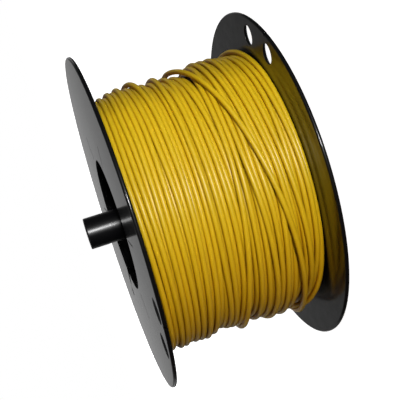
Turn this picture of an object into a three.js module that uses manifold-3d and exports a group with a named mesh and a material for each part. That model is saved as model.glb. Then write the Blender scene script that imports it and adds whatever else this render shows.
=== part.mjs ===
// A spool of single-core cable, standing on one flange, in millimetres, +Z up along its axis.
// z = 0 is the outer face of the lower flange. The drum is built from two equal flanges, a barrel and
// two spoked hubs, and it turns on the tube that runs through the hubs.
import * as THREE from 'three';
import { mergeVertices } from 'three/addons/utils/BufferGeometryUtils.js';
import Module from 'manifold-3d';

const wasm = await Module();
wasm.setup();

// Driving dimensions

const FLANGE_D = 160; // flange diameter
const OVERALL_W = 80; // outer face to outer face
const FLANGE_T = 1.5; // web of a flange
const RIM_BEAD_W = 2.4; // bead round the rim, on the inner face
const RIM_BEAD_H = 0.3;
const OPENING_D = 63.6; // round opening in each flange
const DRIVE_NOTCH_W = 4.5; // notch in the opening's edge
const DRIVE_NOTCH_DEPTH = 8;
const RIM_NOTCH_W = 1.2; // slit in the rim that grips the wire's end
const RIM_NOTCH_DEPTH = 1.6;
const END_HOLE_D = 9.2; // pair of holes that the wire's outer end is threaded through
const END_HOLE_FLARE = 1.2; // 45 degree lead-in round each, in the outer face
const END_HOLE_IN = 3.7; // from the rim to the edge of each
const END_HOLE_SPREAD = 17; // degrees between the two
const START_HOLE_D = 4; // hole for the wire's inner end, just outside the barrel
const START_HOLE_OFF = 0.4; // from the barrel to the edge of that hole

const BARREL_D = 90;
const BARREL_WALL = 2;

const HUB_LENGTH = 18; // ring and outer ribs, along the axis
const HUB_RING_WALL = 1.6;
const SPOKE_COUNT = 6;
const SPOKE_T = 2.2;
const SPOKE_RECESS = 6; // from the hub's outer end to its spokes
const COLLAR_WALL = 3;
const COLLAR_PROUD = 2; // beyond the spokes, towards the opening

const SPINDLE_D = 15;
const SPINDLE_BORE = 11;
const SPINDLE_PROUD = 14.4; // above the upper flange
const SPINDLE_INSET = 1; // below the lower flange's face
const SPINDLE_CHAMFER = 0.5;
const SHOULDER_D = 20; // the two rings on the tube between the hubs
const SHOULDER_W = 2;

const WIRE_D = 2.5;
const WINDING_D = 126; // over the outer layer
const LEAST_WIRE_GAP = 0.5; // between neighbouring turns
const MAX_TURNS = 24;
const END_BEND_R = 3.8; // where an end dives under the layer below

const SEAT_GAP = 0.3; // between pieces that touch
const RUN_GAP = 0.3; // between the tube and its bores

// Angles about the axis, in degrees, as the flanges lie on the drum

const LOWER_FLANGE_TURN = 322.2;
const UPPER_FLANGE_TURN = 230.2;
const RIM_NOTCH_TURN = -6.5; // from the middle of the hole pair, in the flange's own frame
const DRIVE_NOTCH_TURN = 92.2;
const SPOKE_TURN = 17;
const WINDING_START = 60;

// Faces round a full circle

const RIM_FACES = 96;
const BARREL_FACES = 72;
const PACK_FACES = 72;
const TUBE_FACES = 40;
const HOLE_FACES = 24;
const LOOP_STEPS = 24;
const WIRE_SIDES = 6;
const BEND_STEPS = 6;

// Sizes that follow

const flangeR = FLANGE_D / 2;
const openingR = OPENING_D / 2;
const barrelR = BARREL_D / 2;
const barrelBoreR = barrelR - BARREL_WALL;
const flangeSeatZ = FLANGE_T + SEAT_GAP; // what stands on a flange's inner face starts here
const hubRingR = openingR + HUB_RING_WALL;
const spokeTipR = barrelBoreR - SEAT_GAP;
const collarBoreR = SPINDLE_D / 2 + RUN_GAP;
const collarR = collarBoreR + COLLAR_WALL;
const spokeZ = flangeSeatZ + SPOKE_RECESS;
const collarZ = spokeZ - COLLAR_PROUD;
const hubEndZ = flangeSeatZ + HUB_LENGTH;
const endHoleAt = flangeR - END_HOLE_IN - END_HOLE_D / 2;
const startHoleAt = barrelR + START_HOLE_OFF + START_HOLE_D / 2;

const wireR = WIRE_D / 2;
const layerR = WINDING_D / 2 - wireR; // centre line of the outer layer
const chordDip = Math.cos(Math.PI / LOOP_STEPS); // a straight step comes this much nearer the axis
const packR = layerR * chordDip - wireR - SEAT_GAP;
const firstTurnZ = flangeSeatZ + wireR;
const lastTurnZ = OVERALL_W - firstTurnZ;
const turns = Math.min(MAX_TURNS, Math.floor((lastTurnZ - firstTurnZ) / (WIRE_D + LEAST_WIRE_GAP)));
const pitch = (lastTurnZ - firstTurnZ) / turns;
const tuckEndR = layerR - END_BEND_R - WIRE_D; // the tucked end stops here, square to its seat

// Materials

const material = (color, roughness) => new THREE.MeshStandardMaterial({ color, roughness, metalness: 0 });
const blackPlastic = () => material(0x17181b, 0.32);
const glossyPlastic = () => material(0x0d0e12, 0.15);
const yellowSheath = () => material(0xe0b814, 0.38);

// Solids

const radians = (degrees) => (degrees * Math.PI) / 180;

function toSolid(geometry) {
  const bare = geometry.clone();
  bare.deleteAttribute('normal');
  bare.deleteAttribute('uv');
  const merged = mergeVertices(bare, 1e-4);
  return new wasm.Manifold(
    new wasm.Mesh({
      numProp: 3,
      vertProperties: new Float32Array(merged.attributes.position.array),
      triVerts: new Uint32Array(merged.index.array),
    }),
  );
}

function toGeometry(solid) {
  const mesh = solid.getMesh();
  const geometry = new THREE.BufferGeometry();
  geometry.setAttribute('position', new THREE.BufferAttribute(mesh.vertProperties, 3));
  geometry.setIndex(new THREE.BufferAttribute(mesh.triVerts, 1));
  geometry.computeVertexNormals();
  return geometry;
}

// Revolves a closed outline of [radius, z] points, listed anticlockwise, about Z.
function revolve(outline, faces) {
  const points = [...outline, outline[0]].map(([r, z]) => new THREE.Vector2(r, z));
  return new THREE.LatheGeometry(points, faces).rotateX(Math.PI / 2);
}

function block(sizeX, sizeY, sizeZ, x, y, z) {
  return new THREE.BoxGeometry(sizeX, sizeY, sizeZ).translate(x, y, z);
}

function post(radius, length, x, y, z) {
  return new THREE.CylinderGeometry(radius, radius, length, HOLE_FACES).rotateX(Math.PI / 2).translate(x, y, z);
}

// The lead-in of a hole through a flange: a cone that meets the outer face at z = 0.
function leadIn(radius, depth, x, y) {
  const cone = new THREE.CylinderGeometry(radius, radius + 2 * depth, 2 * depth, HOLE_FACES);
  return cone.rotateX(Math.PI / 2).translate(x, y, 0);
}

// A flange in its own frame: outer face at z = 0, inner face up, hole pair centred on +X.
function flangeSolid() {
  const rimT = FLANGE_T + RIM_BEAD_H;
  const edge = RIM_BEAD_H;
  const beadR = flangeR - RIM_BEAD_W;
  let solid = toSolid(
    revolve(
      [
        [openingR, 0],
        [flangeR - edge, 0],
        [flangeR, edge],
        [flangeR, rimT - edge],
        [flangeR - edge, rimT],
        [beadR, rimT],
        [beadR - RIM_BEAD_H, FLANGE_T],
        [openingR, FLANGE_T],
      ],
      RIM_FACES,
    ),
  );
  const through = 4 * FLANGE_T;
  for (const side of [-1, 1]) {
    const angle = radians((side * END_HOLE_SPREAD) / 2);
    const x = endHoleAt * Math.cos(angle);
    const y = endHoleAt * Math.sin(angle);
    solid = solid.subtract(toSolid(post(END_HOLE_D / 2, through, x, y, 0)));
    solid = solid.subtract(toSolid(leadIn(END_HOLE_D / 2, END_HOLE_FLARE, x, y)));
  }
  const rimNotch = block(2 * RIM_NOTCH_DEPTH, RIM_NOTCH_W, through, flangeR, 0, 0);
  solid = solid.subtract(toSolid(rimNotch.rotateZ(radians(RIM_NOTCH_TURN))));
  const driveNotch = block(2 * DRIVE_NOTCH_DEPTH, DRIVE_NOTCH_W, through, openingR, 0, 0);
  const startHole = post(START_HOLE_D / 2, through, startHoleAt, 0, 0);
  for (const cut of [driveNotch, startHole]) {
    solid = solid.subtract(toSolid(cut.rotateZ(radians(DRIVE_NOTCH_TURN))));
  }
  return toGeometry(solid);
}

function barrelSolid() {
  return revolve(
    [
      [barrelBoreR, flangeSeatZ],
      [barrelR, flangeSeatZ],
      [barrelR, OVERALL_W - flangeSeatZ],
      [barrelBoreR, OVERALL_W - flangeSeatZ],
    ],
    BARREL_FACES,
  );
}

// A hub in the lower place: a ring behind the opening's edge, a collar for the tube, and spokes that
// run from the collar through the ring to the barrel. Inside the ring they lie deeper.
function hubSolid() {
  const ring = revolve(
    [
      [openingR, flangeSeatZ],
      [hubRingR, flangeSeatZ],
      [hubRingR, hubEndZ],
      [openingR, hubEndZ],
    ],
    BARREL_FACES,
  );
  const collar = revolve(
    [
      [collarBoreR, collarZ],
      [collarR, collarZ],
      [collarR, hubEndZ],
      [collarBoreR, hubEndZ],
    ],
    TUBE_FACES,
  );
  let solid = toSolid(ring).add(toSolid(collar));
  const collarMiddleR = collarBoreR + COLLAR_WALL / 2;
  const ringMiddleR = openingR + HUB_RING_WALL / 2;
  for (let i = 0; i < SPOKE_COUNT; i += 1) {
    const angle = radians(SPOKE_TURN + (i * 360) / SPOKE_COUNT);
    const inner = spokeBlock(collarMiddleR, ringMiddleR, spokeZ, hubEndZ).rotateZ(angle);
    const outer = spokeBlock(ringMiddleR, spokeTipR, flangeSeatZ, hubEndZ).rotateZ(angle);
    solid = solid.add(toSolid(inner)).add(toSolid(outer));
  }
  return toGeometry(solid);
}

function spokeBlock(fromR, toR, fromZ, toZ) {
  return block(toR - fromR, SPOKE_T, toZ - fromZ, (fromR + toR) / 2, 0, (fromZ + toZ) / 2);
}

function spindleSolid() {
  const tubeR = SPINDLE_D / 2;
  const boreR = SPINDLE_BORE / 2;
  const c = SPINDLE_CHAMFER;
  const top = OVERALL_W + SPINDLE_PROUD;
  const lowShoulder = hubEndZ + SEAT_GAP;
  const highShoulder = OVERALL_W - lowShoulder;
  const shoulderR = SHOULDER_D / 2;
  return revolve(
    [
      [boreR, SPINDLE_INSET],
      [tubeR - c, SPINDLE_INSET],
      [tubeR, SPINDLE_INSET + c],
      [tubeR, lowShoulder],
      [shoulderR, lowShoulder],
      [shoulderR, lowShoulder + SHOULDER_W],
      [tubeR, lowShoulder + SHOULDER_W],
      [tubeR, highShoulder - SHOULDER_W],
      [shoulderR, highShoulder - SHOULDER_W],
      [shoulderR, highShoulder],
      [tubeR, highShoulder],
      [tubeR, top - c],
      [tubeR - c, top],
      [boreR, top],
    ],
    TUBE_FACES,
  );
}

// The centre line of the outer layer: up the winding turn by turn, with both ends bent inwards.
function layerPath() {
  const path = [];
  const startAngle = radians(WINDING_START);
  const steps = turns * LOOP_STEPS;
  for (let i = 0; i <= steps; i += 1) {
    const angle = startAngle + (i * 2 * Math.PI) / LOOP_STEPS;
    const z = firstTurnZ + (i * pitch) / LOOP_STEPS;
    path.push(new THREE.Vector3(layerR * Math.cos(angle), layerR * Math.sin(angle), z));
  }
  const endAngle = startAngle + turns * 2 * Math.PI;
  const before = tuck(startAngle, firstTurnZ, -1).reverse();
  return [...before, ...path, ...tuck(endAngle, lastTurnZ, 1)];
}

// One tucked end: a quarter bend from the turn's direction to straight inwards, then one wire width.
function tuck(angle, z, direction) {
  const outwards = new THREE.Vector3(Math.cos(angle), Math.sin(angle), 0);
  const along = new THREE.Vector3(-Math.sin(angle), Math.cos(angle), 0).multiplyScalar(direction);
  const points = [];
  for (let i = 1; i <= BEND_STEPS; i += 1) {
    const bend = (i * Math.PI) / 2 / BEND_STEPS;
    const r = layerR - END_BEND_R * (1 - Math.cos(bend));
    const ahead = END_BEND_R * Math.sin(bend);
    points.push(outwards.clone().multiplyScalar(r).addScaledVector(along, ahead).setZ(z));
  }
  const last = points[points.length - 1].clone();
  points.push(last.addScaledVector(outwards, -WIRE_D));
  return points;
}

// One closed tube of flat-sided section along a path that never runs along Z.
function wireAlong(path) {
  const positions = [];
  const up = new THREE.Vector3(0, 0, 1);
  path.forEach((point, i) => {
    const ahead = path[Math.min(i + 1, path.length - 1)];
    const behind = path[Math.max(i - 1, 0)];
    const tangent = ahead.clone().sub(behind).normalize();
    const side = up.clone().addScaledVector(tangent, -up.dot(tangent)).normalize();
    const out = tangent.clone().cross(side);
    for (let k = 0; k < WIRE_SIDES; k += 1) {
      const turn = (k * 2 * Math.PI) / WIRE_SIDES;
      const corner = point.clone().addScaledVector(side, wireR * Math.cos(turn));
      corner.addScaledVector(out, wireR * Math.sin(turn));
      positions.push(corner.x, corner.y, corner.z);
    }
  });
  const index = [];
  for (let i = 0; i + 1 < path.length; i += 1) {
    for (let k = 0; k < WIRE_SIDES; k += 1) {
      const a = i * WIRE_SIDES + k;
      const b = i * WIRE_SIDES + ((k + 1) % WIRE_SIDES);
      index.push(a, b, b + WIRE_SIDES, a, b + WIRE_SIDES, a + WIRE_SIDES);
    }
  }
  const last = (path.length - 1) * WIRE_SIDES;
  for (let k = 1; k + 1 < WIRE_SIDES; k += 1) {
    index.push(0, k + 1, k, last, last + k, last + k + 1);
  }
  const geometry = new THREE.BufferGeometry();
  geometry.setAttribute('position', new THREE.Float32BufferAttribute(positions, 3));
  geometry.setIndex(index);
  geometry.computeVertexNormals();
  return geometry;
}

// The least gap between points of the tube that are half a turn or more apart along it.
function leastOwnGap(path) {
  let least = Infinity;
  for (let i = 0; i < path.length; i += 1) {
    for (let j = i + LOOP_STEPS / 2; j < path.length; j += 1) {
      least = Math.min(least, path[i].distanceTo(path[j]) - WIRE_D);
    }
  }
  return least;
}

// The inner layers as one plain ring, with a pocket at each end where the outer layer is tucked in.
function packSolid() {
  const innerR = barrelR + SEAT_GAP;
  const lowZ = flangeSeatZ;
  const highZ = OVERALL_W - flangeSeatZ;
  const ring = revolve(
    [
      [innerR, lowZ],
      [packR, lowZ],
      [packR, highZ],
      [innerR, highZ],
    ],
    PACK_FACES,
  );
  const endAngle = radians(WINDING_START) + turns * 2 * Math.PI;
  return toGeometry(
    toSolid(ring)
      .subtract(toSolid(tuckPocket(radians(WINDING_START), firstTurnZ, -1)))
      .subtract(toSolid(tuckPocket(endAngle, lastTurnZ, 1))),
  );
}

// Room for a tucked end, with a flat floor square to it.
function tuckPocket(angle, z, direction) {
  const half = wireR + SEAT_GAP;
  const floorR = tuckEndR - SEAT_GAP;
  const height = layerR - floorR;
  const length = END_BEND_R + half;
  const middle = (direction * (END_BEND_R + half)) / 2;
  const width = 2 * (half + SEAT_GAP); // past the end face of the pack
  return block(height, length, width, floorR + height / 2, middle, z).rotateZ(angle);
}

// The scene

const spool = new THREE.Group();

function add(parent, name, geometry, finish) {
  const mesh = new THREE.Mesh(geometry, finish);
  mesh.name = name;
  parent.add(mesh);
  return mesh;
}

// A group whose pieces are turned over, for the upper end of the drum.
const upperEnd = new THREE.Group();
upperEnd.rotation.x = Math.PI;
upperEnd.position.z = OVERALL_W;
spool.add(upperEnd);

const lowerFlange = add(spool, 'lower_flange', flangeSolid(), blackPlastic());
lowerFlange.rotation.z = radians(LOWER_FLANGE_TURN);
const upperFlange = add(upperEnd, 'upper_flange', flangeSolid(), blackPlastic());
upperFlange.rotation.z = radians(-UPPER_FLANGE_TURN);

add(spool, 'barrel', barrelSolid(), blackPlastic());
add(spool, 'lower_hub', hubSolid(), blackPlastic());
const upperHub = add(upperEnd, 'upper_hub', hubSolid(), blackPlastic());
upperHub.rotation.z = radians(-2 * SPOKE_TURN);
add(spool, 'spindle_tube', spindleSolid(), glossyPlastic());
add(spool, 'wire_pack', packSolid(), yellowSheath());

const path = layerPath();
add(spool, 'wire_outer_layer', wireAlong(path), yellowSheath());
console.log(`outer layer: ${turns} turns, pitch ${pitch.toFixed(3)} mm, least gap ${leastOwnGap(path).toFixed(3)} mm`);

export default spool;
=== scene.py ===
# %% [markdown]
# # A reel of single-core cable
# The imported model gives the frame: two flanges, a barrel, two spoked hubs, the tube they turn on and the
# winding. Each cell below makes one piece or one finish over that frame, in metres, +Z along the axis.

# %% Load the frame
import math

import bmesh
import bpy
import numpy as np
from mathutils import Matrix, Vector


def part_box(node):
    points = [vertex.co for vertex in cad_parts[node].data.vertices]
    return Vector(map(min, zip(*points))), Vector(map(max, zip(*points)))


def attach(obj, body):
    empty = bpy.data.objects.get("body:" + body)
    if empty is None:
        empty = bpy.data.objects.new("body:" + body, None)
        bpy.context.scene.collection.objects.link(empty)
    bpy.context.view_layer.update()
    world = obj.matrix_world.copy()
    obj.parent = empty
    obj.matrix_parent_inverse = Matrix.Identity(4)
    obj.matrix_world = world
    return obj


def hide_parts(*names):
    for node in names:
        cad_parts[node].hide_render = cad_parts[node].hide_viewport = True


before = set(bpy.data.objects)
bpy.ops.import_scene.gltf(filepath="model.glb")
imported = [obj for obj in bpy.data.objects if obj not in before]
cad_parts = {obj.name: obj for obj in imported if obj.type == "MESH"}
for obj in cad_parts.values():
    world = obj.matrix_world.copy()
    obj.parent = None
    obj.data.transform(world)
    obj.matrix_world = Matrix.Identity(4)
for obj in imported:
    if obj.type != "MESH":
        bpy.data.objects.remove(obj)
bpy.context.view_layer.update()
MM = 0.001
print("nodes:", sorted(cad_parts))

# %% [markdown]
# ## Camera
# The reel stands on one flange here, while the photographer laid it on its side, so the camera is
# rolled until the axis runs across the picture. Place, roll and lens come from a perspective fit of the
# two rims.

# %% Camera
camera_data = bpy.data.cameras.new("camera")
camera = bpy.data.objects.new("camera", camera_data)
bpy.context.scene.collection.objects.link(camera)
bpy.context.scene.camera = camera
camera.location = (0.0, -0.35737, 0.10701)
right = Vector((-0.30278, -0.18098, -0.93572))
back = Vector((0.02789, -0.98307, 0.18111)).normalized()
up = back.cross(right).normalized()
right = up.cross(back).normalized()
camera.rotation_euler = Matrix((right, up, back)).transposed().to_euler()
camera_data.sensor_width = 36.0
camera_data.lens = 67.836
camera_data.shift_y = 0.0512
camera_data.clip_start = 0.01
camera_data.clip_end = 50.0
print("camera turned to", [round(math.degrees(a), 2) for a in camera.rotation_euler])

# %% [markdown]
# ## Sizes
# What the pieces share is read from the frame's boxes, so that every new piece sits where the frame says.
# A box can't tell the size of a hole, a rib or a wall, so those are given here by name, in real millimetres,
# and but for the start hole as they are in the model.

# %% Sizes from the frame
low_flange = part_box("lower_flange")
high_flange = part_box("upper_flange")
barrel_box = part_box("barrel")
hub_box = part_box("lower_hub")
tube_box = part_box("spindle_tube")

rim_radius = low_flange[1].x
width = high_flange[1].z
rim_thickness = low_flange[1].z
seat = barrel_box[0].z
hub_end = hub_box[1].z
print(f"rim {rim_radius / MM:.1f} mm, width {width / MM:.1f} mm, seats at {seat / MM:.1f} mm")

# %% Sizes of the flanges
web = 1.5 * MM
bead_slope = 0.3 * MM
bead_width = 2.4 * MM
opening_radius = 31.8 * MM
end_hole_at = 71.7 * MM
end_hole_radius = 4.6 * MM
end_hole_lead_in = 1.2 * MM
end_hole_spread = 17  # degrees between the two
notch_width = 4.5 * MM
notch_depth = 8 * MM
notch_turn = 92.2  # degrees from the middle of the hole pair
slit_width = 1.2 * MM
slit_depth = 1.6 * MM
slit_turn = 6.5
start_hole_at = 47.4 * MM
start_hole_radius = 2.2 * MM  # a little more than in the model
through = 8 * MM  # height of what cuts right through
low_turn = 322.2  # degrees, the middle of each flange's hole pair
high_turn = 230.2
print(f"web {web / MM} mm, end holes {2 * end_hole_radius / MM:.1f} mm across")

# %% Sizes of the hubs, barrel, tube and wire
rib_count = 6
rib_turn = 17
rib_width = 2.2 * MM
rib_recess = 6 * MM  # the ribs lie this much deeper inside the ring
rib_tip = 42.7 * MM
ring_outer = 33.4 * MM
ring_middle = 32.6 * MM
collar_inner = 7.8 * MM
collar_outer = 10.8 * MM
collar_recess = 4 * MM
barrel_inner = 43 * MM
barrel_outer = 45 * MM
tube_inner = 5.5 * MM
tube_outer = 7.5 * MM
tube_ring_radius = 10 * MM
tube_ring_width = 2 * MM
play = 0.3 * MM  # between pieces that touch
wire_d = 2.5 * MM
print(f"tube {2 * tube_outer / MM:.0f} mm in bores of {2 * collar_inner / MM:.1f} mm")

# %% [markdown]
# ## Helpers
# Operators act on whatever is selected, and a fresh scene has everything selected. So each helper deselects
# first, and picks its piece, faces or edges again in code.


# %% Selecting and settling
def deselect_all():
    if bpy.context.object and bpy.context.object.mode != "OBJECT":
        bpy.ops.object.mode_set(mode="OBJECT")
    bpy.ops.object.select_all(action="DESELECT")


def make_active(piece):
    deselect_all()
    piece.select_set(True)
    bpy.context.view_layer.objects.active = piece


def edit(piece, kind="FACE"):
    make_active(piece)
    bpy.ops.object.mode_set(mode="EDIT")
    bpy.ops.mesh.select_mode(type=kind)
    bpy.ops.mesh.select_all(action="DESELECT")


def choose(piece, kind, test):
    """Selects what passes the test in edit mode, and returns how many that is."""
    mesh = bmesh.from_edit_mesh(piece.data)
    chosen = [x for x in getattr(mesh, kind) if test(x)]
    for x in chosen:
        x.select_set(True)
    mesh.select_flush_mode()
    bmesh.update_edit_mesh(piece.data)
    return len(chosen)


def settle(piece):
    """Leaves edit mode and puts the piece's place into its mesh."""
    make_active(piece)
    bpy.ops.object.transform_apply(location=True, rotation=True, scale=True)


# %% [markdown]
# Most of the reel is turned on a lathe of sorts: half a section is drawn beside the axis and spun. The spin
# leaves the section doubled where it closes, and may leave the faces pointing in, so both are put right.


# %% Spinning
def spin_section(steps):
    """Turns the outline that is open in edit mode about Z, as a closed surface."""
    bpy.ops.mesh.select_all(action="SELECT")
    bpy.ops.mesh.delete(type="ONLY_FACE")
    bpy.ops.mesh.select_all(action="SELECT")
    bpy.ops.mesh.spin(steps=steps, angle=2 * math.pi, center=(0, 0, 0), axis=(0, 0, 1))
    bpy.ops.mesh.select_all(action="SELECT")
    bpy.ops.mesh.remove_doubles(threshold=1e-6)
    bpy.ops.mesh.normals_make_consistent(inside=False)
    bpy.ops.object.mode_set(mode="OBJECT")


def ring_from_section(name, inner, outer, low, high, steps, corner=0.0):
    """A ring turned from a rectangle: the rectangle stands in the XZ plane and is spun about Z."""
    deselect_all()
    bpy.ops.mesh.primitive_plane_add(
        size=1, location=((inner + outer) / 2, 0, (low + high) / 2), rotation=(math.pi / 2, 0, 0)
    )
    piece = bpy.context.object
    piece.name = name
    piece.scale = (outer - inner, high - low, 1)
    settle(piece)
    edit(piece, "VERT")
    bpy.ops.mesh.select_all(action="SELECT")
    if corner:
        bpy.ops.mesh.bevel(offset=corner, segments=3, affect="VERTICES")
    spin_section(steps)
    return piece


# %% [markdown]
# Holes are cut and ribs are welded on with the Boolean modifier, applied at once. Shading comes last: sharp
# edges stay sharp, and at a rounded edge the large face sets the normals, because black gloss shows every
# bent normal as a streak.


# %% Cutting, welding and shading
def apply_modifier(piece, kind, **settings):
    make_active(piece)
    modifier = piece.modifiers.new(kind.lower(), kind)
    for key, value in settings.items():
        setattr(modifier, key, value)
    bpy.ops.object.modifier_apply(modifier=modifier.name)


def cut(piece, cutter):
    apply_modifier(piece, "BOOLEAN", operation="DIFFERENCE", object=cutter, solver="EXACT")
    bpy.data.objects.remove(cutter)


def weld(piece, other):
    apply_modifier(piece, "BOOLEAN", operation="UNION", object=other, solver="EXACT")
    bpy.data.objects.remove(other)


def smooth(piece, degrees=35):
    make_active(piece)
    bpy.ops.object.shade_smooth_by_angle(angle=math.radians(degrees))


def keep_faces_flat(piece):
    """Lets the large faces set the normals at a rounded edge, and sets those of level faces exactly."""
    apply_modifier(piece, "WEIGHTED_NORMAL", mode="FACE_AREA", weight=100, keep_sharp=True)
    mesh = piece.data
    normals = [corner.vector.copy() for corner in mesh.corner_normals]
    for face in mesh.polygons:
        if abs(face.normal.z) > 0.9999:
            for corner in face.loop_indices:
                normals[corner] = Vector((0, 0, math.copysign(1, face.normal.z)))
    mesh.normals_split_custom_set(normals)


def round_edges(piece, size):
    apply_modifier(piece, "BEVEL", width=size, segments=2, limit_method="ANGLE", angle_limit=math.radians(50))


def turn_over(piece):
    """Mirrors a lower piece into its place at the upper end."""
    edit(piece)
    bpy.ops.mesh.select_all(action="SELECT")
    bpy.ops.transform.mirror(constraint_axis=(False, False, True), center_override=(0, 0, width / 2))
    bpy.ops.mesh.normals_make_consistent(inside=False)
    bpy.ops.object.mode_set(mode="OBJECT")


def turned(radius, degrees):
    angle = math.radians(degrees)
    return radius * math.cos(angle), radius * math.sin(angle)


def radial_block(name, radius, degrees, z, size):
    """A block centred at that radius and height, with its first side along the radius."""
    x, y = turned(radius, degrees)
    deselect_all()
    bpy.ops.mesh.primitive_cube_add(size=1, location=(x, y, z), rotation=(0, 0, math.radians(degrees)))
    piece = bpy.context.object
    piece.name = name
    piece.scale = size
    settle(piece)
    return piece


def report(piece):
    piece.data.calc_loop_triangles()
    print(f"{piece.name}: {len(piece.data.loop_triangles)} triangles")


# %% [markdown]
# ## Flanges
# A flange is a thin moulded disc with a bead round its rim, a round opening, a notch in the opening's edge
# for the winding machine's driver, a small hole where the wire starts, and a pair of holes and a slit in the
# rim where it ends. The pair has a lead-in on the outer side. A section is spun, each hole is cut, and then
# every edge is rounded, because light on an edge is what shows that a part is moulded. The rounding would
# bend the shading of the flat faces beside it, so the normals are weighted by the faces' areas.

# %% Flange blank
def flange_blank(name):
    """A flange before its holes: the web's section is drawn out into the bead, then spun."""
    web_end = rim_radius - bead_width - bead_slope
    deselect_all()
    bpy.ops.mesh.primitive_plane_add(
        size=1, location=((opening_radius + web_end) / 2, 0, web / 2), rotation=(math.pi / 2, 0, 0)
    )
    flange = bpy.context.object
    flange.name = name
    flange.scale = (web_end - opening_radius, web, 1)
    settle(flange)
    edit(flange, "VERT")
    reach = web_end
    for outwards, rise in ((bead_slope, rim_thickness - web), (bead_width, 0)):
        bpy.ops.mesh.select_all(action="DESELECT")
        choose(flange, "verts", lambda v: v.co.x > reach - 0.01 * MM)
        bpy.ops.mesh.extrude_region_move(TRANSFORM_OT_translate={"value": (outwards, 0, 0)})
        reach += outwards
        bpy.ops.mesh.select_all(action="DESELECT")
        choose(flange, "verts", lambda v: v.co.x > reach - 0.01 * MM and v.co.z > web / 2)
        bpy.ops.transform.translate(value=(0, 0, rise))
    bpy.ops.mesh.select_all(action="DESELECT")
    choose(flange, "edges", lambda e: len(e.link_faces) == 2)
    bpy.ops.mesh.dissolve_edges()
    bpy.ops.mesh.select_all(action="DESELECT")
    choose(flange, "verts", lambda v: v.co.x > reach - 0.01 * MM)
    bpy.ops.mesh.bevel(offset=0.8 * MM, segments=5, affect="VERTICES")
    spin_section(192)
    return flange


# %% [markdown]
# Two kinds of cut repeat. An end hole is a straight hole and a cone that widens it towards the outer face.
# The driver notch and the rim slit are blocks that stand across an edge, with rounded upright corners.


# %% Holes and notches
def cut_end_hole(flange, degrees):
    x, y = turned(end_hole_at, degrees)
    deselect_all()
    bpy.ops.mesh.primitive_cylinder_add(
        vertices=48, radius=end_hole_radius, depth=through, location=(x, y, 0)
    )
    cut(flange, bpy.context.object)
    bpy.ops.mesh.primitive_cone_add(
        vertices=48,
        radius1=end_hole_radius + 2 * end_hole_lead_in,
        radius2=end_hole_radius,
        depth=2 * end_hole_lead_in,
        location=(x, y, 0),
    )
    cut(flange, bpy.context.object)


def cut_notch(flange, radius, depth, across, degrees):
    notch = radial_block("notch", radius, degrees, 0, (2 * depth, across, through))
    edit(notch, "EDGE")
    choose(notch, "edges", lambda e: abs(e.verts[0].co.z - e.verts[1].co.z) > through / 2)
    bpy.ops.mesh.bevel(offset=0.2 * across, segments=3, affect="EDGES")
    bpy.ops.object.mode_set(mode="OBJECT")
    cut(flange, notch)


# %% [markdown]
# The edges are rounded after the large cuts and before the small ones, because the start hole and the sink
# lines over the hub's ribs have edges too close together for it. The upper flange is the lower one turned
# over, with its own places for the holes.

# %% Flanges
groove_size = (12.4 * MM, 0.9 * MM, 0.6 * MM)  # a sink line: length, width and twice its depth


def make_flange(name, hole_middle, side, upper):
    """side is +1 where angles run on past the hole pair as on the lower flange, -1 where they run back."""
    flange = flange_blank(name)
    for half_spread in (-end_hole_spread / 2, end_hole_spread / 2):
        cut_end_hole(flange, hole_middle + half_spread)
    cut_notch(flange, opening_radius, notch_depth, notch_width, hole_middle + side * notch_turn)
    cut_notch(flange, rim_radius, slit_depth, slit_width, hole_middle - side * slit_turn)
    round_edges(flange, 0.15 * MM)
    x, y = turned(start_hole_at, hole_middle + side * notch_turn)
    deselect_all()
    bpy.ops.mesh.primitive_cylinder_add(
        vertices=24, radius=start_hole_radius, depth=through, location=(x, y, 0)
    )
    cut(flange, bpy.context.object)
    for k in range(rib_count):
        cut(flange, radial_block("groove", 41.2 * MM, rib_turn + 360 / rib_count * k, 0, groove_size))
    if upper:
        turn_over(flange)
    smooth(flange, 50)
    keep_faces_flat(flange)
    report(flange)
    return flange


flange_low = make_flange("flange_low", low_turn, 1, False)
flange_high = make_flange("flange_high", high_turn, -1, True)

# %% [markdown]
# ## Hubs
# A hub stands behind each flange: a ring behind the opening, a collar for the tube and six ribs. The ring
# and the collar are spun, the ribs are blocks welded in, and a small bevel rounds what the mould rounds. The
# flange's driver notch goes on through the ring, or its bottom would mirror light.

# %% Hubs
def make_hub(name, notch_degrees, upper):
    hub = ring_from_section(name, opening_radius, ring_outer, seat, hub_end, 128)
    collar = ring_from_section("collar", collar_inner, collar_outer, seat + collar_recess, hub_end, 64)
    weld(hub, collar)
    collar_middle = (collar_inner + collar_outer) / 2
    for k in range(rib_count):
        degrees = rib_turn + 360 / rib_count * k
        for inner, outer, low in (
            (collar_middle, ring_middle, seat + rib_recess),
            (ring_middle, rib_tip, seat),
        ):
            size = (outer - inner, rib_width, hub_end - low)
            weld(hub, radial_block("rib", (inner + outer) / 2, degrees, (low + hub_end) / 2, size))
    notch_size = (2 * notch_depth, notch_width, 10 * MM)
    cut(hub, radial_block("notch", opening_radius, notch_degrees, seat, notch_size))
    if upper:
        turn_over(hub)
    round_edges(hub, 0.2 * MM)
    smooth(hub, 50)
    keep_faces_flat(hub)
    report(hub)
    return hub


hub_low = make_hub("hub_low", low_turn + notch_turn, False)
hub_high = make_hub("hub_high", high_turn - notch_turn, True)

# %% [markdown]
# ## Barrel
# The barrel is a plain tube between the flanges. The winding hides it, and only its bore shows through the
# opening, so one spun rectangle is all it needs.

# %% Barrel
barrel_shell = ring_from_section("barrel_shell", barrel_inner, barrel_outer, seat, width - seat, 144)
smooth(barrel_shell)
keep_faces_flat(barrel_shell)
report(barrel_shell)

# %% [markdown]
# ## Spindle tube
# The tube that the reel turns on is a plain pipe with two rings that keep it between the hubs. The rounding
# of its end is small, but it is what catches the light there.

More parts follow.
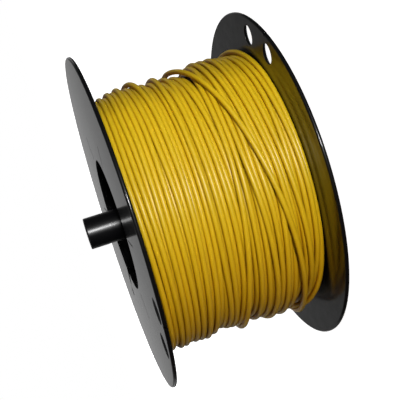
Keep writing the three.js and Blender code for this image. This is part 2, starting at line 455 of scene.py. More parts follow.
# %% Spindle tube
axle_tube = ring_from_section(
    "axle_tube", tube_inner, tube_outer, tube_box[0].z, tube_box[1].z, 96, corner=0.4 * MM
)
for low in (hub_end + play, width - hub_end - play - tube_ring_width):
    ring = ring_from_section(
        "ring", tube_outer - play, tube_ring_radius, low, low + tube_ring_width, 96, corner=0.2 * MM
    )
    weld(axle_tube, ring)
smooth(axle_tube)
keep_faces_flat(axle_tube)
report(axle_tube)

# %% [markdown]
# ## Winding
# The last layer of a hand-finished reel is never a neat helix. Each turn drifts sideways, dives under its
# neighbours and rides over them, and one last turn runs right across. Noise on a helix would look even
# again, so each turn has its own place at eleven stations round the visible half, as read off the
# photograph along the dark lines between turns, carried over to this camera and then corrected row by row.
# The turns are then let settle like round wires (below), and the half that isn't seen drifts at random.

# %% Where each turn lies
# Degrees round the visible half. For each turn a row of distances along the axis from the upper flange's
# outer face, in hundredths of the reel's width, and a row of heights in wire diameters over the layer.
STATIONS = (175, 160, 140, 120, 105, 90, 75, 60, 45, 30, 15)
TURNS = (
    ((9.3, 8.2, 7.2, 6.6, 6.0, 5.9, 6.1, 6.3, 6.8, 7.4, 8.8),
     (0, 0, 0, 0, 0, 0, 0, 0, 0, 0, 0)),
    ((12.1, 11.5, 10.7, 9.6, 8.8, 9.2, 9.9, 10.4, 9.9, 9.8, 11.1),
     (0, 0, 0, 0, 0, 0, 0, 0, 0, 0, 0)),
    ((14.2, 13.6, 13.0, 12.5, 11.7, 12.0, 12.6, 12.7, 12.1, 11.7, 12.7),
     (0, 0, -.2, 0, 0, 0, 0, 0, 0, 0, 0)),
    ((16.7, 16.0, 15.3, 15.4, 14.8, 14.2, 14.4, 14.2, 13.7, 14.0, 14.9),
     (0, 0, 0, 0, -.1, -.3, 0, 0, 0, -.6, -.8)),
    ((19.3, 18.9, 18.4, 18.0, 17.1, 16.6, 16.3, 16.0, 16.0, 15.9, 16.7),
     (0, 0, 0, 0, 0, 0, 0, 0, 0, 0, 0)),
    ((23.1, 22.5, 21.5, 21.0, 20.1, 19.4, 19.1, 18.9, 19.0, 18.4, 18.8),
     (.2, .2, 0, 0, 0, 0, 0, 0, 0, 0, 0)),
    ((25.3, 24.3, 23.1, 23.2, 22.8, 22.4, 22.0, 22.1, 21.9, 21.5, 22.0),
     (-.4, -.2, 0, 0, 0, 0, 0, 0, 0, 0, 0)),
    ((26.2, 25.8, 25.3, 24.7, 24.6, 25.1, 24.4, 23.9, 24.0, 24.3, 24.7),
     (-.8, -.8, -.8, -.6, 0, 0, 0, -.5, -.9, -.9, -.9)),
    ((28.1, 27.0, 25.9, 26.3, 27.2, 27.8, 26.6, 25.4, 25.0, 24.9, 25.8),
     (-.4, -.4, 0, 0, 0, 0, 0, 0, 0, 0, 0)),
    ((30.7, 30.0, 29.4, 29.4, 29.7, 30.0, 29.0, 27.9, 27.9, 28.1, 28.6),
     (-.4, -.4, 0, 0, 0, 0, -.2, -.4, -.9, -.9, -.9)),
    ((28.1, 31.2, 32.9, 32.7, 32.6, 32.5, 31.0, 29.8, 28.9, 28.7, 29.4),
     (.8, .55, .05, 0, 0, 0, 0, 0, 0, 0, 0)),
    ((37.2, 36.8, 36.2, 35.4, 34.8, 34.5, 33.7, 32.5, 32.0, 32.2, 32.5),
     (0, 0, 0, 0, 0, 0, 0, -.2, -.8, -.9, -.9)),
    ((39.8, 39.6, 39.1, 38.2, 37.7, 37.3, 36.6, 35.2, 33.7, 32.6, 33.4),
     (0, 0, 0, 0, 0, 0, 0, 0, 0, 0, 0)),
    ((41.9, 41.5, 40.9, 40.4, 40.2, 40.8, 40.1, 38.7, 37.3, 36.8, 36.2),
     (-.1, 0, -.2, 0, 0, 0, 0, 0, 0, -.2, -.2)),
    ((43.3, 43.6, 43.3, 42.4, 42.2, 41.9, 41.4, 40.5, 39.7, 39.6, 39.9),
     (-.9, -.9, -.9, -.9, -.9, -.9, -.9, -.6, -.1, 0, 0)),
    ((44.1, 43.6, 43.0, 42.7, 42.6, 42.3, 41.4, 41.0, 41.4, 41.8, 42.5),
     (0, 0, 0, 0, 0, 0, 0, 0, 0, 0, 0)),
    ((46.0, 45.5, 44.8, 44.2, 44.1, 44.0, 43.0, 43.1, 43.7, 44.7, 45.2),
     (-.1, 0, 0, 0, 0, 0, 0, -.4, -.9, -.9, -.9)),
    ((48.6, 48.1, 47.4, 46.6, 46.4, 46.2, 45.5, 45.0, 44.6, 44.8, 46.1),
     (-.4, -.3, 0, 0, 0, 0, 0, 0, 0, 0, 0)),
    ((49.9, 49.7, 49.5, 49.4, 49.5, 49.2, 48.6, 47.8, 47.0, 47.7, 48.2),
     (-.5, -.4, -.1, 0, 0, 0, 0, 0, -.3, -.8, -.8)),
    ((52.2, 52.0, 52.0, 52.4, 52.4, 52.6, 52.1, 50.8, 49.0, 47.6, 48.4),
     (-.5, -.4, 0, 0, 0, 0, 0, 0, 0, 0, 0)),
    ((54.2, 54.9, 55.1, 54.6, 55.1, 56.1, 54.9, 54.1, 53.1, 53.0, 52.8),
     (-.9, -.9, -.8, -.6, 0, 0, 0, -.6, -.9, -.9, -.9)),
    ((55.1, 55.3, 56.2, 57.0, 57.6, 57.7, 57.5, 56.7, 56.1, 56.3, 56.3),
     (-.5, -.4, 0, 0, 0, -.5, -.9, -.9, -.9, -.9, -.9)),
    ((57.8, 58.1, 59.1, 59.7, 60.2, 60.0, 59.3, 57.8, 56.6, 57.0, 57.3),
     (-.5, -.4, 0, -.3, -.9, -.9, -.9, -.3, -.4, -.8, -.8)),
    ((66.0, 64.6, 62.6, 61.2, 59.8, 59.1, 56.9, 53.4, 50.6, 49.4, 49.5),
     (-.3, 0, 0, 0, 0, .1, .5, .9, .95, .95, .9)),
    ((68.3, 67.2, 65.5, 64.0, 63.3, 62.2, 61.1, 59.9, 59.2, 59.0, 60.1),
     (0, 0, 0, 0, 0, 0, 0, 0, 0, 0, 0)),
    ((69.2, 68.7, 67.7, 66.4, 65.7, 64.7, 63.5, 62.4, 62.1, 62.2, 63.3),
     (-.9, -.9, -.9, -.9, -.9, -.7, -.3, -.1, 0, 0, 0)),
    ((70.8, 69.4, 67.8, 66.8, 66.5, 66.4, 67.4, 68.3, 68.7, 68.2, 69.3),
     (-.6, -.3, 0, 0, 0, .1, .5, .8, .8, .6, .4)),
    ((71.8, 70.9, 69.5, 67.8, 66.8, 66.0, 65.2, 64.6, 64.2, 63.9, 65.1),
     (-.9, -.9, -.9, -.9, -.9, -.8, -.2, 0, 0, 0, 0)),
    ((73.2, 72.2, 70.8, 69.4, 69.1, 68.7, 68.1, 67.1, 66.8, 66.4, 67.7),
     (-.9, -.9, -.9, -.9, -.9, -.9, -.7, -.1, 0, 0, 0)),
    ((69.2, 68.5, 68.2, 69.1, 69.4, 69.8, 70.3, 70.9, 71.3, 72.2, 72.6),
     (0, 0, 0, 0, 0, 0, -.1, -.7, -.9, -.9, -.9)),
    ((72.3, 71.5, 71.1, 71.2, 71.8, 72.9, 72.2, 71.8, 71.9, 72.5, 74.3),
     (-.7, -.6, -.5, -.2, 0, 0, 0, 0, 0, 0, 0)),
    ((73.8, 72.7, 71.5, 72.6, 74.1, 75.2, 74.5, 73.5, 73.8, 75.0, 75.7),
     (0, .1, 0, 0, 0, 0, 0, -.1, -.6, -.9, -.9)),
    ((76.7, 76.0, 75.4, 75.7, 76.6, 77.4, 77.0, 75.4, 74.6, 74.2, 75.9),
     (-.2, -.2, -.1, 0, 0, 0, 0, 0, 0, 0, 0)),
    ((79.7, 78.9, 78.0, 78.2, 79.0, 80.2, 81.8, 82.8, 82.8, 82.8, 82.0),
     (.4, .4, 0, 0, 0, 0, 0, -.2, -.1, -.2, -.4)),
    ((82.8, 82.1, 81.1, 80.2, 80.0, 79.8, 79.7, 78.3, 76.8, 75.9, 77.7),
     (-.9, -.9, -.9, -.9, -.9, -.9, -.8, -.1, 0, 0, 0)),
    ((85.1, 84.4, 83.4, 82.2, 81.8, 81.7, 81.6, 80.5, 79.6, 78.8, 80.2),
     (-.9, -.9, -.9, -.9, -.9, -.9, -.9, -.2, 0, 0, 0)),
    ((84.5, 83.1, 81.2, 81.1, 81.8, 83.1, 83.8, 84.7, 85.6, 87.0, 88.2),
     (0, 0, 0, 0, 0, 0, 0, -.5, -.9, -.9, -.9)),
    ((86.4, 85.3, 84.0, 84.2, 84.8, 85.8, 87.2, 88.3, 88.6, 88.6, 89.3),
     (0, 0, 0, 0, 0, .1, .5, .6, .5, .1, 0)),
    ((87.9, 87.0, 86.2, 87.2, 87.1, 86.9, 86.0, 86.2, 87.3, 87.8, 88.0),
     (-.3, -.2, 0, 0, 0, -.6, -.4, -.3, -.6, -.9, -.9)),
    ((89.4, 89.8, 90.0, 90.2, 89.3, 87.6, 87.5, 88.3, 89.1, 89.2, 89.0),
     (0, 0, 0, 0, 0, 0, -.5, -.9, -.9, -.9, -.9)),
    ((93.2, 93.5, 93.5, 92.5, 91.1, 90.4, 90.3, 90.9, 91.8, 91.6, 90.9),
     (-.8, -.8, -.8, -.6, -.1, 0, 0, 0, -.3, -.6, -.6)),
    ((92.3, 93.4, 93.9, 93.7, 93.9, 93.8, 93.5, 93.3, 93.0, 91.4, 89.8),
     (.1, .1, 0, 0, 0, 0, 0, 0, -.1, -.2, 0)),
    ((91.5, 94.0, 96.6, 96.9, 96.9, 96.7, 96.7, 96.5, 95.2, 92.0, 88.5),
     (.6, .6, .2, 0, 0, 0, 0, 0, 0, .2, .6)),
    ((50.5, 58.7, 63.3, 68.7, 72.3, 75.7, 78.9, 82.1, 83.5, 85.1, 87.7),
     (1, 1, 1, 1, 1, 1, 1, 1, 1, 1, 1)),
)
print(len(TURNS), "turns in the last layer")

# %% [markdown]
# The winding is no true cylinder either. Its outline in the photograph bulges by a few millimetres, less on
# the side that was wound tight than on the slack one. Two rows of radii, one for each side, keep that bulge,
# and between the sides the radius changes like a cosine, as it would on a reel wound slightly off centre.

# %% The layer's radius
# Places along the axis in hundredths of the width, and there the layer's outer radius in millimetres.
TIGHT_SIDE = (
    (3, 10, 12, 14, 16, 18, 22, 26, 30, 34, 36, 38, 40, 42)
    + (46, 50, 56, 60, 64, 68, 72, 76, 80, 84, 88, 93, 98),
    (57.6, 58.0, 58.5, 59.0, 59.4, 59.7, 60.0, 60.2, 60.6, 60.3, 59.6, 58.8, 58.8, 59.5)
    + (59.6, 59.5, 59.3, 59.8, 60.3, 60.8, 61.3, 61.3, 62.0, 61.6, 61.0, 61.6, 62.4),
)
SLACK_SIDE = (
    (3, 10, 20, 30, 33, 36, 40, 44, 50, 56, 62, 70, 76, 80, 84, 89, 93, 98),
    (64.1, 64.1, 64.1, 64.5, 63.5, 62.1, 62.4, 63.3, 63.4)
    + (63.0, 63.3, 63.7, 64.0, 63.6, 62.6, 62.9, 61.6, 59.9),
)


def layer_radius(degrees, z):
    """Radius of the centre line of a wire that lies in the layer."""
    place = 100 - z / width * 100
    tight = np.interp(place, *TIGHT_SIDE)
    slack = np.interp(place, *SLACK_SIDE)
    share = (1 - np.cos(np.radians(degrees))) / 2
    return (share * tight + (1 - share) * slack) * MM - wire_d / 2


print(f"radius over the tight side {min(TIGHT_SIDE[1])} to {max(TIGHT_SIDE[1])} mm")

# %% [markdown]
# Those places alone would let turns cut through each other. So a small solver works on sample points round
# every turn at once: it pulls each to its place and height, bends the whole wire smoothly, and pushes apart
# any two samples at the same angle that overlap. In the last rounds it pulls less, so that pushing wins.


# %% Places wanted
STEPS = 120  # samples round one turn
turn_count = len(TURNS)
wall_low = seat + wire_d / 2
wall_high = width - seat - wire_d / 2
sample = np.arange(STEPS) * 360.0 / STEPS  # 0 at the station of 180 degrees, and on round the back


def wanted_places():
    """For every turn and sample, the place along the axis and the height in wire diameters."""
    seen = 180.0 - np.array(STATIONS, float)
    want_z = np.zeros((turn_count, STEPS))
    want_h = np.zeros((turn_count, STEPS))
    for k, (places, heights) in enumerate(TURNS):
        following = TURNS[k + 1] if k + 1 < turn_count else ((95.5,) * 11, (0.0,) * 11)
        at = np.concatenate([seen, seen[:2] + 360.0])
        z = np.concatenate([places, following[0][:2]])
        h = np.concatenate([heights, following[1][:2]])
        want_z[k] = np.interp(sample, at, z, left=np.nan)
        want_h[k] = np.interp(sample, at, h, left=np.nan)
        if np.isnan(want_z[k, 0]):
            before = TURNS[k - 1] if k else ((4.2,) * 11, (-1.0,) * 11)
            share = (sample[np.isnan(want_z[k])] + 360 - (seen[-1])) / (seen[0] + 360 - seen[-1])
            gap = np.isnan(want_z[k])
            want_z[k, gap] = before[0][-1] + (places[0] - before[0][-1]) * share
            want_h[k, gap] = before[1][-1] + (heights[0] - before[1][-1]) * share
    return width - want_z / 100 * width, want_h


def wander():
    """A slow seeded drift along the axis, for the half of each turn that isn't seen."""
    rng = np.random.default_rng(7)
    drift = rng.normal(0, 1, turn_count * STEPS)
    kernel = np.exp(-0.5 * (np.arange(-60, 61) / 18.0) ** 2)
    drift = np.convolve(drift, kernel / kernel.sum(), "same").reshape(turn_count, STEPS)
    behind = np.clip((sample - 175) / 25, 0, 1) * np.clip((350 - sample) / 25, 0, 1)
    return drift / drift.std() * 0.55 * MM * behind


# %% Let the turns settle
ROUNDS, FIRM_ROUNDS = 220, 150
FIRM_PULL, SOFT_PULL = 0.12, 0.03
PUSH = 0.28  # share of an overlap that one push clears on each side


def settle_turns():
    """Centre-line points of the whole last layer, one row of [along the axis, radius] per turn."""
    want_z, want_h = wanted_places()
    want_z = want_z + wander()
    base = layer_radius(180.0 - sample[None, :], want_z)
    want_r = base + want_h * wire_d
    z, r = want_z.copy(), want_r.copy()
    first, second = np.triu_indices(turn_count, 1)
    for step in range(ROUNDS):
        hold = FIRM_PULL if step < FIRM_ROUNDS else SOFT_PULL
        z += hold * (want_z - z)
        r += hold * 0.7 * (want_r - r)
        for values in (z, r):
            line = values.ravel()
            for _ in range(3):
                line[1:-1] += 0.25 * (line[:-2] + line[2:] - 2 * line[1:-1])
        for _ in range(3):
            dz = z[second] - z[first]
            dr = r[second] - r[first]
            apart = np.hypot(dz, dr) + 1e-9
            push = np.clip(wire_d - apart, 0, None) / apart * PUSH
            move_z, move_r = dz * push, dr * push
            np.subtract.at(z, first, move_z)
            np.add.at(z, second, move_z)
            np.subtract.at(r, first, move_r)
            np.add.at(r, second, move_r)
            np.clip(z, wall_low, wall_high, out=z)
            np.maximum(r, base - 1.15 * wire_d, out=r)
    dz = z[second] - z[first]
    dr = r[second] - r[first]
    deepest = wire_d - np.hypot(dz, dr).min()
    print(f"settled: deepest overlap {deepest / MM:.2f} mm")
    print(f"centre line between radius {r.min() / MM:.1f} and {r.max() / MM:.1f} mm")
    return z, r


turn_z, turn_r = settle_turns()

# %% [markdown]
# The wire itself is a tube along those points. A bevelled curve would do as well, but its seam and its UV map
# turn with the curve, and the sheath's finish has to know which side of the wire faces out. So the rings are
# made in code: the first point of each ring always faces away from the axis.


# %% Wire mesh
def wire_mesh(name, points, out, radius, sides):
    """A closed round tube along the points. UV: metres along the wire, and once round it."""
    points = np.asarray(points)
    count = len(points)
    ahead = np.gradient(points, axis=0)
    ahead /= np.linalg.norm(ahead, axis=1)[:, None]
    out = out - (out * ahead).sum(1)[:, None] * ahead
    out /= np.linalg.norm(out, axis=1)[:, None]
    side = np.cross(ahead, out)
    turn = np.arange(sides) * 2 * math.pi / sides
    rings = (
        points[:, None, :]
        + radius * np.cos(turn)[None, :, None] * out[:, None, :]
        + radius * np.sin(turn)[None, :, None] * side[:, None, :]
    )
    verts = np.concatenate([rings.reshape(-1, 3), points[:1], points[-1:]])
    i, k = np.meshgrid(np.arange(count - 1), np.arange(sides), indexing="ij")
    a = i * sides + k
    b = i * sides + (k + 1) % sides
    quads = np.stack([a, b, b + sides, a + sides], -1).reshape(-1, 4)
    start, end = count * sides, count * sides + 1
    last = (count - 1) * sides
    caps = [(start, (n + 1) % sides, n) for n in range(sides)]
    caps += [(end, last + n, last + (n + 1) % sides) for n in range(sides)]
    mesh = bpy.data.meshes.new(name)
    mesh.from_pydata(verts.tolist(), [], quads.tolist() + caps)
    length = np.concatenate([[0], np.cumsum(np.linalg.norm(np.diff(points, axis=0), axis=1))])
    uv = np.zeros((len(quads) * 4 + len(caps) * 3, 2))
    u0, u1 = length[i].ravel(), length[i + 1].ravel()
    v0, v1 = k.ravel() / sides, (k.ravel() + 1) / sides
    uv[: len(quads) * 4] = np.stack([u0, v0, u0, v1, u1, v1, u1, v0], -1).reshape(-1, 2)
    layer = mesh.uv_layers.new(name="along_wire")
    layer.data.foreach_set("uv", uv.astype(np.float32).ravel())
    mesh.validate()
    piece = bpy.data.objects.new(name, mesh)
    bpy.context.scene.collection.objects.link(piece)
    edit(piece)
    bpy.ops.mesh.select_all(action="SELECT")
    bpy.ops.mesh.normals_make_consistent(inside=False)
    bpy.ops.object.mode_set(mode="OBJECT")
    smooth(piece, 60)
    print(f"{name}: {length[-1]:.2f} m of wire")
    report(piece)
    return piece


angle = np.radians(360.0 - np.arange(turn_count * STEPS) * 360.0 / STEPS)
flat_z, flat_r = turn_z.ravel(), turn_r.ravel()
wire_points = np.stack([flat_r * np.cos(angle), flat_r * np.sin(angle), flat_z], -1)
outwards = np.stack([np.cos(angle), np.sin(angle), np.zeros_like(angle)], -1)
wound_wire = wire_mesh("wound_wire", wire_points, outwards, wire_d / 2, 12)

# %% [markdown]
# ## Layers beneath
# Under the last layer lie the others. Only the next one shows, as dark ridges through the gaps, so it is a
# plain helix of the same wire, and all that lies deeper is one ring.

# %% Layers beneath
def make_wire_beneath():
    turns = 29
    step = np.arange(turns * 96 + 1) * 360.0 / 96
    z = wall_low + (wall_high - wall_low) * step / step[-1]
    r = layer_radius(step % 360, z) - 1.7 * wire_d
    turn = np.radians(step)
    points = np.stack([r * np.cos(turn + math.pi), r * np.sin(turn + math.pi), z], -1)
    out = np.stack([np.cos(turn + math.pi), np.sin(turn + math.pi), np.zeros_like(turn)], -1)
    return wire_mesh("wire_beneath", points, out, wire_d / 2, 10)


wire_beneath = make_wire_beneath()
deep_layers = ring_from_section(
    "deep_layers", barrel_outer + play, 52.6 * MM, seat, width - seat, 96, corner=0.5 * MM
)
smooth(deep_layers)
report(deep_layers)

# %% [markdown]
# ## Finishes
# Every finish is a Principled shader with a few nodes that vary it. What is the same all over is set on the
# shader's own sockets, so that it survives an export, and only what varies is linked.

# %% Making a finish
def new_finish(name, colour, roughness, **sockets):
    finish = bpy.data.materials.new(name)
    finish.use_nodes = True
    shader = finish.node_tree.nodes["Principled BSDF"]
    shader.inputs["Base Color"].default_value = (*colour, 1)
    shader.inputs["Roughness"].default_value = roughness
    for key, value in sockets.items():
        shader.inputs[key.replace("_", " ")].default_value = value
    return finish, finish.node_tree, shader


def put(piece, finish):
    piece.data.materials.clear()
    piece.data.materials.append(finish)
    print(f"{piece.name} is finished in {finish.name}")


# %% Varying a finish
def noise(tree, vector, scale, detail=3.0, roughness=0.5):
    node = tree.nodes.new("ShaderNodeTexNoise")
    node.inputs["Scale"].default_value = scale
    node.inputs["Detail"].default_value = detail
    node.inputs["Roughness"].default_value = roughness
    tree.links.new(vector, node.inputs["Vector"])
    return node.outputs["Fac"]


def spread(tree, value, low, high, from_low=0.3, from_high=0.7):
    node = tree.nodes.new("ShaderNodeMapRange")
    node.inputs["From Min"].default_value = from_low
    node.inputs["From Max"].default_value = from_high
    node.inputs["To Min"].default_value = low
    node.inputs["To Max"].default_value = high
    tree.links.new(value, node.inputs["Value"])
    return node.outputs["Result"]


def bump(tree, shader, height, strength, distance):
    node = tree.nodes.new("ShaderNodeBump")
    node.inputs["Strength"].default_value = strength
    node.inputs["Distance"].default_value = distance
    tree.links.new(height, node.inputs["Height"])
    tree.links.new(node.outputs["Normal"], shader.inputs["Normal"])


def mix_colours(tree, share, first, second):
    node = tree.nodes.new("ShaderNodeMix")
    node.data_type = "RGBA"
    node.inputs["A"].default_value = (*first, 1)
    node.inputs["B"].default_value = (*second, 1)
    tree.links.new(share, node.inputs["Factor"])
    return node.outputs["Result"]


# %% [markdown]
# ### Sheath
# The sheath is soft plastic: smooth, half glossy and nearly even in colour. Long faint streaks run along the
# wire, from its drawing. The flanks of each wire carry painted shade: they are painted browner than the
# crown, as light that reaches the gaps has already been yellow once. The wire's own UV map tells both apart:
# one way it counts metres along the wire, the other way it goes once round, and the cosine of that is 1 on
# the crown.

# %% Sheath colours
sheath, tree, shader = new_finish("yellow_sheath", (0.65, 0.425, 0.007), 0.38)
uv = tree.nodes.new("ShaderNodeTexCoord")
stretch = tree.nodes.new("ShaderNodeMapping")
stretch.inputs["Scale"].default_value = (90, 2.0, 1)
tree.links.new(uv.outputs["UV"], stretch.inputs["Vector"])
tone = noise(tree, stretch.outputs["Vector"], 1.0, 4.0, 0.6)
crown = mix_colours(tree, spread(tree, tone, 0, 1), (0.62, 0.405, 0.006), (0.67, 0.445, 0.008))

# %% Crown and flanks
split = tree.nodes.new("ShaderNodeSeparateXYZ")
tree.links.new(uv.outputs["UV"], split.inputs["Vector"])
round_wire = tree.nodes.new("ShaderNodeMath")
round_wire.operation = "MULTIPLY"
round_wire.inputs[1].default_value = 2 * math.pi
tree.links.new(split.outputs["Y"], round_wire.inputs[0])
outward = tree.nodes.new("ShaderNodeMath")
outward.operation = "COSINE"
tree.links.new(round_wire.outputs[0], outward.inputs[0])
# Painted shade: this flank mask and the brown below darken each wire's sides, where the gaps shade them.
flank = spread(tree, outward.outputs[0], 1, 0, 0.05, 0.75)
painted_flank_shade = tree.nodes.new("ShaderNodeMix")
painted_flank_shade.data_type = "RGBA"
painted_flank_shade.inputs["B"].default_value = (0.40, 0.19, 0.001, 1)
tree.links.new(flank, painted_flank_shade.inputs["Factor"])
tree.links.new(crown, painted_flank_shade.inputs["A"])
tree.links.new(painted_flank_shade.outputs["Result"], shader.inputs["Base Color"])
scuff = noise(tree, uv.outputs["Object"], 350, 2.0, 0.5)
tree.links.new(spread(tree, scuff, 0.36, 0.40), shader.inputs["Roughness"])
put(wound_wire, sheath)

# %% [markdown]
# The layers beneath are the same cable in its own shadow. Their colour is set darker and duller, because the
# few wires drawn there let in more light than a full winding would.

# %% Sheath beneath
under_sheath, tree, shader = new_finish("under_sheath", (0.12, 0.05, 0.001), 0.5)
place = tree.nodes.new("ShaderNodeTexCoord")
tone = noise(tree, place.outputs["Object"], 400, 3.0)
brown = mix_colours(tree, spread(tree, tone, 0, 1), (0.10, 0.04, 0.001), (0.14, 0.06, 0.001))
tree.links.new(brown, shader.inputs["Base Color"])
shader.inputs["Specular IOR Level"].default_value = 0.15
put(wire_beneath, under_sheath)
# The deep ring is painted nearly black: painted shade for the wire that lies deep in the winding.
painted_shade_deep_sheath, tree, shader = new_finish("painted_shade_deep_sheath", (0.012, 0.006, 0.001), 0.6)
shader.inputs["Specular IOR Level"].default_value = 0.05
put(deep_layers, painted_shade_deep_sheath)

# %% [markdown]
# ### Reel plastic
# The reel is black polystyrene from a polished mould: a sharp skin over a duller body. A coat gives the sharp
# part and the shader under it the dull part, so that a flat face mirrors softly at a grazing angle and stays
# black when seen straight on. Cloudy tone and worn patches in the roughness keep it from looking drawn.


# %% Reel plastic
def make_reel_plastic():
    finish, tree, shader = new_finish(
        "reel_plastic", (0.004, 0.004, 0.0045), 0.4, Coat_Weight=1.0, Coat_Roughness=0.12, Coat_IOR=1.32
    )
    place = tree.nodes.new("ShaderNodeTexCoord")
    cloud = noise(tree, place.outputs["Object"], 45, 4.0, 0.55)
    black = mix_colours(tree, spread(tree, cloud, 0, 1), (0.003, 0.003, 0.0035), (0.005, 0.005, 0.0055))
    tree.links.new(black, shader.inputs["Base Color"])
    wear = noise(tree, place.outputs["Object"], 160, 5.0, 0.65)
    tree.links.new(spread(tree, wear, 0.36, 0.44), shader.inputs["Roughness"])
    shader.inputs["Specular IOR Level"].default_value = 0.12
    return finish


reel_plastic = make_reel_plastic()
for piece in (flange_low, flange_high, hub_low, hub_high, barrel_shell):
    put(piece, reel_plastic)

# %% [markdown]
# ### Tube plastic
# The tube is extruded, so what marks it has are long and fine and run along it. Noise that is squeezed along
# Z gives them, both to the roughness and to a very small bump.

# %% Tube plastic
tube_plastic, tree, shader = new_finish("tube_plastic", (0.003, 0.003, 0.0035), 0.32)
place = tree.nodes.new("ShaderNodeTexCoord")
drawn = tree.nodes.new("ShaderNodeMapping")
drawn.inputs["Scale"].default_value = (1, 1, 0.12)
tree.links.new(place.outputs["Object"], drawn.inputs["Vector"])
fine = noise(tree, drawn.outputs["Vector"], 700, 3.0)
tree.links.new(spread(tree, fine, 0.30, 0.34), shader.inputs["Roughness"])
bump(tree, shader, fine, 0.06, 0.0001)
put(axle_tube, tube_plastic)

# %% [markdown]
# ## Set
# A white floor and a plain world. A small key light beside the camera draws one soft line of light along
# the winding, a broad fill stands further to the same side, and a lamp behind lights the far side for the
# other views. The two broad lamps stay out of the gloss.
#
# The background is white in the photograph. The floor and the world are white to the camera and in mirrors
# alone, by Light Path, and shed hardly any light, so that white ground doesn't wash out black plastic. The
# floor keeps a diffuse part, which holds the reel's shadow.

# %% Seen rays
def seen_rays(tree):
    """1 for camera, glossy and transmission rays, else 0."""
    path = tree.nodes.new("ShaderNodeLightPath")
    first = tree.nodes.new("ShaderNodeMath")
    first.operation = "MAXIMUM"
    second = tree.nodes.new("ShaderNodeMath")
    second.operation = "MAXIMUM"
    tree.links.new(path.outputs["Is Camera Ray"], first.inputs[0])
    tree.links.new(path.outputs["Is Glossy Ray"], first.inputs[1])
    tree.links.new(first.outputs[0], second.inputs[0])
    tree.links.new(path.outputs["Is Transmission Ray"], second.inputs[1])
    return second.outputs[0]


def by_ray(tree, unseen, seen, end):
    """Shows one shader to the rays that are seen and the other to all the rest."""
    either = tree.nodes.new("ShaderNodeMixShader")
    tree.links.new(seen_rays(tree), either.inputs["Fac"])
    tree.links.new(unseen.outputs[0], either.inputs[1])
    tree.links.new(seen.outputs[0], either.inputs[2])
    tree.links.new(either.outputs[0], end.inputs["Surface"])


# %% Floor
deselect_all()
bpy.ops.mesh.primitive_plane_add(size=8, location=(0, 0, -0.0002))
floor = bpy.context.object
floor.name = "floor"
floor_white = bpy.data.materials.new("floor_white")
floor_white.use_nodes = True
tree = floor_white.node_tree
tree.nodes.clear()
output = tree.nodes.new("ShaderNodeOutputMaterial")
plain = tree.nodes.new("ShaderNodeBsdfDiffuse")
plain.inputs["Color"].default_value = (0.8, 0.8, 0.8, 1)
lit = tree.nodes.new("ShaderNodeEmission")
lit.inputs["Strength"].default_value = 0.985
seen = tree.nodes.new("ShaderNodeAddShader")
tree.links.new(plain.outputs[0], seen.inputs[0])
tree.links.new(lit.outputs[0], seen.inputs[1])
by_ray(tree, plain, seen, output)
put(floor, floor_white)

# %% World
world = bpy.data.worlds.new("studio")
bpy.context.scene.world = world
world.use_nodes = True
tree = world.node_tree
tree.nodes.clear()
output = tree.nodes.new("ShaderNodeOutputWorld")
air = tree.nodes.new("ShaderNodeBackground")
air.inputs["Strength"].default_value = 0.02
white = tree.nodes.new("ShaderNodeBackground")
white.inputs["Strength"].default_value = 1.0
for shade in (air, white):
    shade.inputs["Color"].default_value = (1, 1, 1, 1)
by_ray(tree, air, white, output)
bpy.context.scene.view_settings.view_transform = "Standard"
print("air lights at", air.inputs["Strength"].default_value)

# %% [markdown]
# ### Cards
# Black plastic mirrors whatever stands round it. As on a real set, cards stand out of the camera's sight, so
# that the black stays black; these glow at a set grey, as painted reflections. They reach gloss alone and
# take no light from the reel. The card at the back is a sweep of painted tones, because the near flange
# mirrors it from edge to edge and shows its every tone.


# %% Glow for cards, as painted reflections
def one_shader(name, kind, socket, value):
    """A material with a single shader and that one value set."""
    paint = bpy.data.materials.new(name)
    paint.use_nodes = True
    paint.node_tree.nodes.clear()
    end = paint.node_tree.nodes.new("ShaderNodeOutputMaterial")
    shade = paint.node_tree.nodes.new(kind)
    shade.inputs[socket].default_value = value
    paint.node_tree.links.new(shade.outputs[0], end.inputs["Surface"])
    return paint


def reflection_glow(name, shade):
    return one_shader(name, "ShaderNodeEmission", "Strength", shade)


def reflection_glow_sweep(name):
    """Painted reflection tones: light near the floor, darker above, and lighter towards -X than towards +X.
    """
    paint = reflection_glow(name, 1.0)
    tree = paint.node_tree
    grey = tree.nodes["Emission"]
    where = tree.nodes.new("ShaderNodeNewGeometry")
    split = tree.nodes.new("ShaderNodeSeparateXYZ")
    tree.links.new(where.outputs["Position"], split.inputs["Vector"])
    low = spread(tree, split.outputs["Z"], 0.34, 0.0, 0.170, 0.215)
    high = spread(tree, split.outputs["Z"], 0.21, 0.11, 0.215, 0.45)
    side = spread(tree, split.outputs["X"], 1.08, 0.98, -0.3, 0.3)
    total = tree.nodes.new("ShaderNodeMath")
    total.operation = "ADD"
    tree.links.new(low, total.inputs[0])
    tree.links.new(high, total.inputs[1])
    times = tree.nodes.new("ShaderNodeMath")
    times.operation = "MULTIPLY"
    tree.links.new(total.outputs[0], times.inputs[0])
    tree.links.new(side, times.inputs[1])
    tree.links.new(times.outputs[0], grey.inputs["Strength"])
    return paint


# %% Cards
def card(name, location, towards, size, paint):
    deselect_all()
    bpy.ops.mesh.primitive_plane_add(size=1, location=location)
    board = bpy.context.object
    board.name = name
    board.scale = (*size, 1)
    board.rotation_euler = (Vector(towards) - Vector(location)).to_track_quat("Z", "Y").to_euler()
    put(board, paint)
    board.visible_camera = False
    board.visible_diffuse = False
    board.visible_shadow = False
    board.visible_transmission = False
    board.visible_volume_scatter = False
    return board


middle = (0, 0, 0.04)
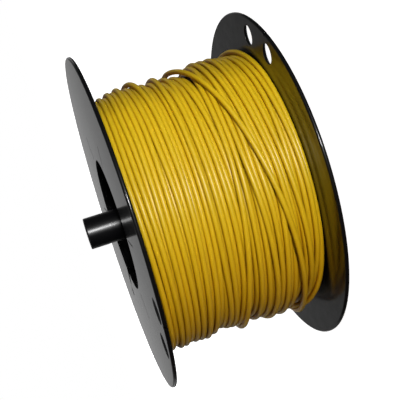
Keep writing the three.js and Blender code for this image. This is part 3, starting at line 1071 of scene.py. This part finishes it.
# The cards glow at the greys given here, as painted reflections.
card("card_back", (0, 1.6, 0.7), (0, 0, 0.7), (4.2, 3.2), reflection_glow_sweep("card_back"))
for name, location, size, shade in (
    ("card_front", (0, -1.6, 0.7), (4.2, 3.2), 0.005),
    ("card_below", (0, 0, -0.0001), (6.0, 6.0), 0.03),
    ("card_plus_x", (1.6, 0, 0.7), (4.2, 3.2), 0.02),
    ("card_minus_x", (-1.6, 0, 0.7), (4.2, 3.2), 0.02),
    ("card_above", (0, 0, 1.8), (4.4, 4.4), 0.12),
):
    card(name, location, middle, size, reflection_glow(name, shade))

# %% [markdown]
# ### Flags
# Two boards stand between the key light and the reel and only throw a shadow. A warm gel dims the lower
# side, where the photograph's light falls off and turns browner, and a narrow flag shades the top edge.


# %% Flags
def flag(name, low_x, high_x, y, height, passes):
    """passes is the colour that comes through, black for a board and tinted for a gel."""
    gel = one_shader(name, "ShaderNodeBsdfTransparent", "Color", (*passes, 1))
    x, z = (low_x + high_x) / 2, height / 2
    board = card(name, (x, y, z), (x, 1, z), (high_x - low_x, height), gel)
    board.visible_glossy = False
    board.visible_shadow = True


flag("gel_minus_x", -0.60, 0.04, -0.35, 0.30, (0.9, 0.62, 0.4))
flag("flag_plus_x", 0.083, 0.125, -0.20, 0.25, (0, 0, 0))

# %% [markdown]
# ### Lamps
# The key is small, because a small light draws a narrow line along round wires. The fill is large and out of
# the gloss, or its mirror image would cover the flanges. The lamp behind lights what this camera can't see.


# %% Lamps
def softbox(name, location, size, power, towards=middle):
    data = bpy.data.lights.new(name, "AREA")
    data.shape = "RECTANGLE"
    data.size, data.size_y = size
    data.energy = power
    lamp = bpy.data.objects.new(name, data)
    lamp.location = location
    lamp.rotation_euler = (Vector(location) - Vector(towards)).to_track_quat("Z", "Y").to_euler()
    bpy.context.scene.collection.objects.link(lamp)
    print(f"{name}: {power} W")
    return lamp


softbox("key", (0.24, -1.17, 0.09), (0.16, 0.14), 11.3)
softbox("top", (0.8, -0.9, 0.35), (0.8, 0.8), 4.8).visible_glossy = False
softbox("behind", (-0.3, 1.2, 0.5), (0.8, 0.8), 9.0).visible_glossy = False

# %% [markdown]
# ## Rides and stand-ins
# Each piece rides on a body of the model, so that it follows when the joint turns, and stands for the plain
# solid that it replaces, which is hidden.

# %% Put the pieces on their bodies
for piece, body, slot, nodes in (
    (flange_low, "drum", "reel_plastic", ["lower_flange"]),
    (flange_high, "drum", "reel_plastic", ["upper_flange"]),
    (hub_low, "drum", "reel_plastic", ["lower_hub"]),
    (hub_high, "drum", "reel_plastic", ["upper_hub"]),
    (barrel_shell, "drum", "reel_plastic", ["barrel"]),
    (axle_tube, "spindle", "tube_plastic", ["spindle_tube"]),
    (wound_wire, "drum", "wire_sheath", ["wire_outer_layer"]),
    (wire_beneath, "drum", "wire_sheath", ["wire_pack"]),
    (deep_layers, "drum", "wire_sheath", ["wire_pack"]),
):
    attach(piece, body)
    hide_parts(*nodes)
    print(f"{piece.name} rides on {body}")
